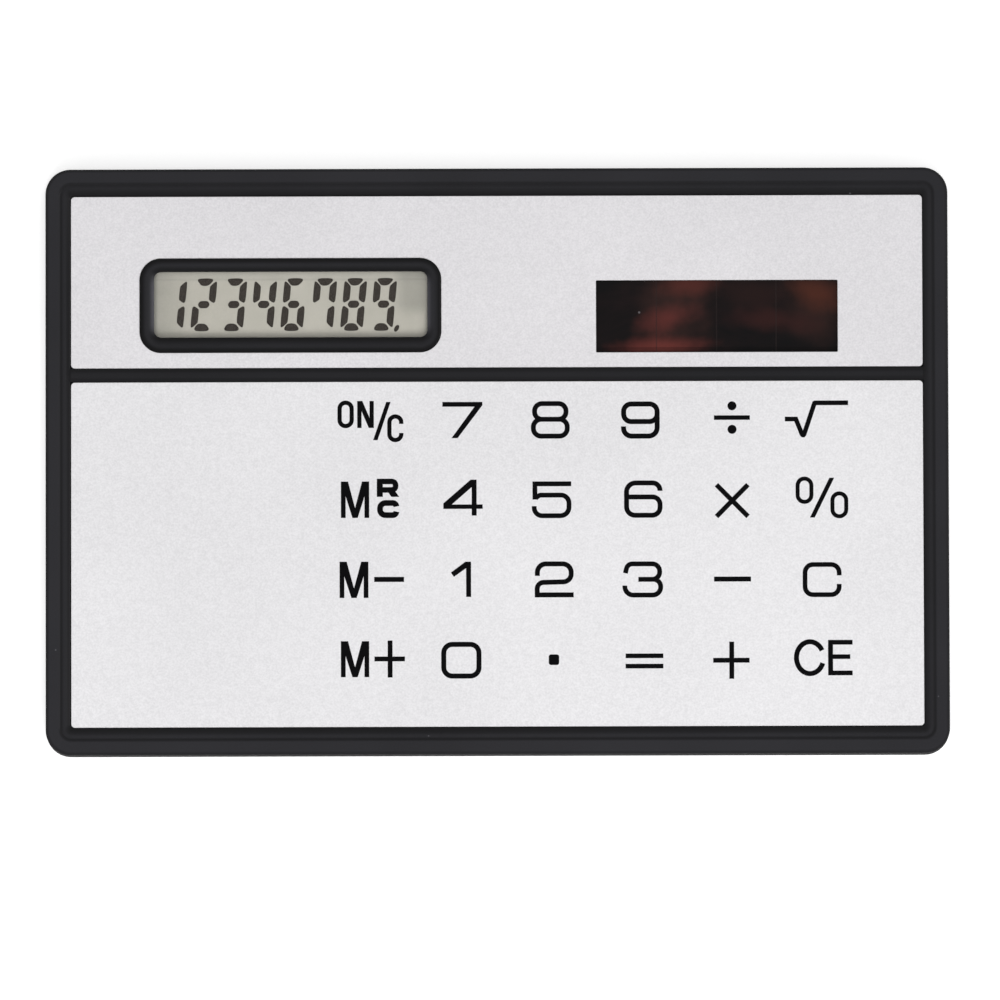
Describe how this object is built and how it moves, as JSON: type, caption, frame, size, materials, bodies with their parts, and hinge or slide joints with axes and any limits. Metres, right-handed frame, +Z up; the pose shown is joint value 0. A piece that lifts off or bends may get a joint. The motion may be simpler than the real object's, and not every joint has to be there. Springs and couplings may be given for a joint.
{
  "type": "pocket calculator",
  "caption": "Flat card-size solar calculator: black framed case, silver face with a display window and solar strip above, and a flush film keypad below.",
  "frame": {"origin": "centre of the flat back face, at the bottom of the bounding box", "axes": "+X along the long side, to the right of a person reading the display; +Y towards the display end; +Z up out of the face"},
  "size_m": [0.086, 0.056, 0.003],
  "materials": {
    "case_plastic": "black moulded plastic, fine spark texture",
    "faceplate_silver": "satin silver sheet, fine grain",
    "keypad_film": "silver printed polyester film, fine pearl grain",
    "window_clear": "clear acrylic",
    "display_glass": "polished",
    "polarizer": "neutral film",
    "reflector": "grey-beige reflector film",
    "foam": "soft foam",
    "ribbon": "polyimide with printed conductors",
    "solar_silicon": "amorphous silicon under glass",
    "lead_red": "insulation",
    "lead_black": "insulation",
    "board": "green solder mask",
    "epoxy": "cured black epoxy",
    "capacitor_body": "ceramic",
    "component_black": "moulded body",
    "spacer_film": "milky polyester",
    "adhesive": "double-sided tape"
  },
  "bodies": {
    "case": {"rear_cover": "case_plastic", "front_frame": "case_plastic", "faceplate": "faceplate_silver", "faceplate_adhesive": "adhesive", "keypad_overlay": "keypad_film", "overlay_adhesive": "adhesive", "contact_spacer": "spacer_film", "display_window": "window_clear", "lcd_front_polarizer": "polarizer", "lcd_front_glass": "display_glass", "lcd_rear_glass": "display_glass", "lcd_reflector": "reflector", "display_foam_pad": "foam", "display_ribbon": "ribbon", "solar_cell": "solar_silicon", "solar_lead_positive": "lead_red", "solar_lead_negative": "lead_black", "circuit_board": "board", "chip_epoxy_dome": "epoxy", "supply_capacitor": "capacitor_body", "clamp_diode": "component_black", "oscillator_resistor": "component_black"},
    "key_on_c": {"key_on_c": "keypad_film"},
    "key_7": {"key_7": "keypad_film"},
    "key_8": {"key_8": "keypad_film"},
    "key_9": {"key_9": "keypad_film"},
    "key_divide": {"key_divide": "keypad_film"},
    "key_sqrt": {"key_sqrt": "keypad_film"},
    "key_mrc": {"key_mrc": "keypad_film"},
    "key_4": {"key_4": "keypad_film"},
    "key_5": {"key_5": "keypad_film"},
    "key_6": {"key_6": "keypad_film"},
    "key_multiply": {"key_multiply": "keypad_film"},
    "key_percent": {"key_percent": "keypad_film"},
    "key_m_minus": {"key_m_minus": "keypad_film"},
    "key_1": {"key_1": "keypad_film"},
    "key_2": {"key_2": "keypad_film"},
    "key_3": {"key_3": "keypad_film"},
    "key_minus": {"key_minus": "keypad_film"},
    "key_c": {"key_c": "keypad_film"},
    "key_m_plus": {"key_m_plus": "keypad_film"},
    "key_0": {"key_0": "keypad_film"},
    "key_decimal": {"key_decimal": "keypad_film"},
    "key_equals": {"key_equals": "keypad_film"},
    "key_plus": {"key_plus": "keypad_film"},
    "key_ce": {"key_ce": "keypad_film"}
  },
  "joints": [
    {"name": "key_on_c_press", "type": "slide", "parent": "case", "child": "key_on_c", "axis": [0, 0, -1], "range_m": [0, 0.00025], "stiffness_N_per_m": 4000},
    {"name": "key_7_press", "type": "slide", "parent": "case", "child": "key_7", "axis": [0, 0, -1], "range_m": [0, 0.00025], "stiffness_N_per_m": 4000},
    {"name": "key_8_press", "type": "slide", "parent": "case", "child": "key_8", "axis": [0, 0, -1], "range_m": [0, 0.00025], "stiffness_N_per_m": 4000},
    {"name": "key_9_press", "type": "slide", "parent": "case", "child": "key_9", "axis": [0, 0, -1], "range_m": [0, 0.00025], "stiffness_N_per_m": 4000},
    {"name": "key_divide_press", "type": "slide", "parent": "case", "child": "key_divide", "axis": [0, 0, -1], "range_m": [0, 0.00025], "stiffness_N_per_m": 4000},
    {"name": "key_sqrt_press", "type": "slide", "parent": "case", "child": "key_sqrt", "axis": [0, 0, -1], "range_m": [0, 0.00025], "stiffness_N_per_m": 4000},
    {"name": "key_mrc_press", "type": "slide", "parent": "case", "child": "key_mrc", "axis": [0, 0, -1], "range_m": [0, 0.00025], "stiffness_N_per_m": 4000},
    {"name": "key_4_press", "type": "slide", "parent": "case", "child": "key_4", "axis": [0, 0, -1], "range_m": [0, 0.00025], "stiffness_N_per_m": 4000},
    {"name": "key_5_press", "type": "slide", "parent": "case", "child": "key_5", "axis": [0, 0, -1], "range_m": [0, 0.00025], "stiffness_N_per_m": 4000},
    {"name": "key_6_press", "type": "slide", "parent": "case", "child": "key_6", "axis": [0, 0, -1], "range_m": [0, 0.00025], "stiffness_N_per_m": 4000},
    {"name": "key_multiply_press", "type": "slide", "parent": "case", "child": "key_multiply", "axis": [0, 0, -1], "range_m": [0, 0.00025], "stiffness_N_per_m": 4000},
    {"name": "key_percent_press", "type": "slide", "parent": "case", "child": "key_percent", "axis": [0, 0, -1], "range_m": [0, 0.00025], "stiffness_N_per_m": 4000},
    {"name": "key_m_minus_press", "type": "slide", "parent": "case", "child": "key_m_minus", "axis": [0, 0, -1], "range_m": [0, 0.00025], "stiffness_N_per_m": 4000},
    {"name": "key_1_press", "type": "slide", "parent": "case", "child": "key_1", "axis": [0, 0, -1], "range_m": [0, 0.00025], "stiffness_N_per_m": 4000},
    {"name": "key_2_press", "type": "slide", "parent": "case", "child": "key_2", "axis": [0, 0, -1], "range_m": [0, 0.00025], "stiffness_N_per_m": 4000},
    {"name": "key_3_press", "type": "slide", "parent": "case", "child": "key_3", "axis": [0, 0, -1], "range_m": [0, 0.00025], "stiffness_N_per_m": 4000},
    {"name": "key_minus_press", "type": "slide", "parent": "case", "child": "key_minus", "axis": [0, 0, -1], "range_m": [0, 0.00025], "stiffness_N_per_m": 4000},
    {"name": "key_c_press", "type": "slide", "parent": "case", "child": "key_c", "axis": [0, 0, -1], "range_m": [0, 0.00025], "stiffness_N_per_m": 4000},
    {"name": "key_m_plus_press", "type": "slide", "parent": "case", "child": "key_m_plus", "axis": [0, 0, -1], "range_m": [0, 0.00025], "stiffness_N_per_m": 4000},
    {"name": "key_0_press", "type": "slide", "parent": "case", "child": "key_0", "axis": [0, 0, -1], "range_m": [0, 0.00025], "stiffness_N_per_m": 4000},
    {"name": "key_decimal_press", "type": "slide", "parent": "case", "child": "key_decimal", "axis": [0, 0, -1], "range_m": [0, 0.00025], "stiffness_N_per_m": 4000},
    {"name": "key_equals_press", "type": "slide", "parent": "case", "child": "key_equals", "axis": [0, 0, -1], "range_m": [0, 0.00025], "stiffness_N_per_m": 4000},
    {"name": "key_plus_press", "type": "slide", "parent": "case", "child": "key_plus", "axis": [0, 0, -1], "range_m": [0, 0.00025], "stiffness_N_per_m": 4000},
    {"name": "key_ce_press", "type": "slide", "parent": "case", "child": "key_ce", "axis": [0, 0, -1], "range_m": [0, 0.00025], "stiffness_N_per_m": 4000}
  ]
}
